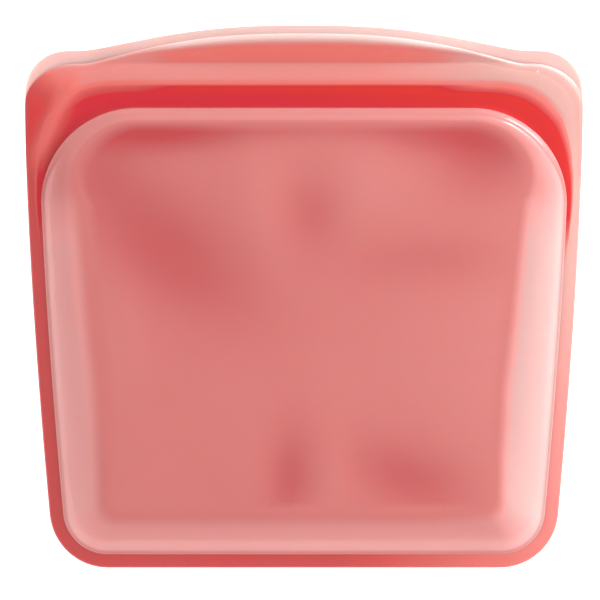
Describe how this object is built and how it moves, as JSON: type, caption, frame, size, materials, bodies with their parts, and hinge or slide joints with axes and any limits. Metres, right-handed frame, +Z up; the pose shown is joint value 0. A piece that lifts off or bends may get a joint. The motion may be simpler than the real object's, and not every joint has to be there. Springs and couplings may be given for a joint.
{
  "type": "reusable silicone food bag",
  "caption": "Flat reusable food bag of soft translucent silicone with a raised pouch, a bonded rim, a press-close rib seal and a pull tab on each half of the mouth.",
  "frame": {"origin": "centre of the bag's outline, on the surface the bag lies on", "axes": "+X to the bag's right, +Y from the base to the mouth, +Z up out of the front face"},
  "size_m": [0.1906, 0.1853, 0.0199],
  "materials": {
    "face_silicone": "satin",
    "rim_silicone": "satin",
    "web_silicone": "satin",
    "seal_silicone": "satin",
    "tab_silicone": "satin"
  },
  "bodies": {
    "rear_half": {"rear_panel": "face_silicone", "rear_side_wall": "face_silicone", "rear_web": "web_silicone", "rear_seal_band": "seal_silicone", "rear_seal_lower_rail": "seal_silicone", "rear_seal_upper_rail": "seal_silicone", "edge_band": "rim_silicone", "left_corner_gusset": "rim_silicone", "right_corner_gusset": "rim_silicone", "front_side_wall": "face_silicone"},
    "front_face": {"front_panel": "face_silicone"},
    "front_mouth": {"front_web": "web_silicone", "front_seal_band": "seal_silicone", "front_seal_rib": "seal_silicone"},
    "front_tab": {"front_pull_tab": "tab_silicone"},
    "rear_tab": {"rear_pull_tab": "tab_silicone"}
  },
  "joints": [
    {"name": "panel_press", "type": "slide", "parent": "rear_half", "child": "front_face", "axis": [0, 0, 1], "range_m": [-0.0075, 0], "stiffness_N_per_m": 400, "springref_m": 0.002},
    {"name": "mouth_open", "type": "hinge", "parent": "rear_half", "child": "front_mouth", "pos_m": [0, 0.0656, 0.0092], "axis": [1, 0, 0], "range_deg": [0, 60], "stiffness_Nm_per_rad": 0.03, "springref_deg": -5.73},
    {"name": "front_tab_curl", "type": "hinge", "parent": "front_mouth", "child": "front_tab", "pos_m": [0, 0.0801, 0.0109], "axis": [1, 0, 0], "range_deg": [-12, 60], "stiffness_Nm_per_rad": 0.02},
    {"name": "rear_tab_curl", "type": "hinge", "parent": "rear_half", "child": "rear_tab", "pos_m": [0, 0.0801, 0.00575], "axis": [1, 0, 0], "range_deg": [-18, 25], "stiffness_Nm_per_rad": 0.02}
  ]
}
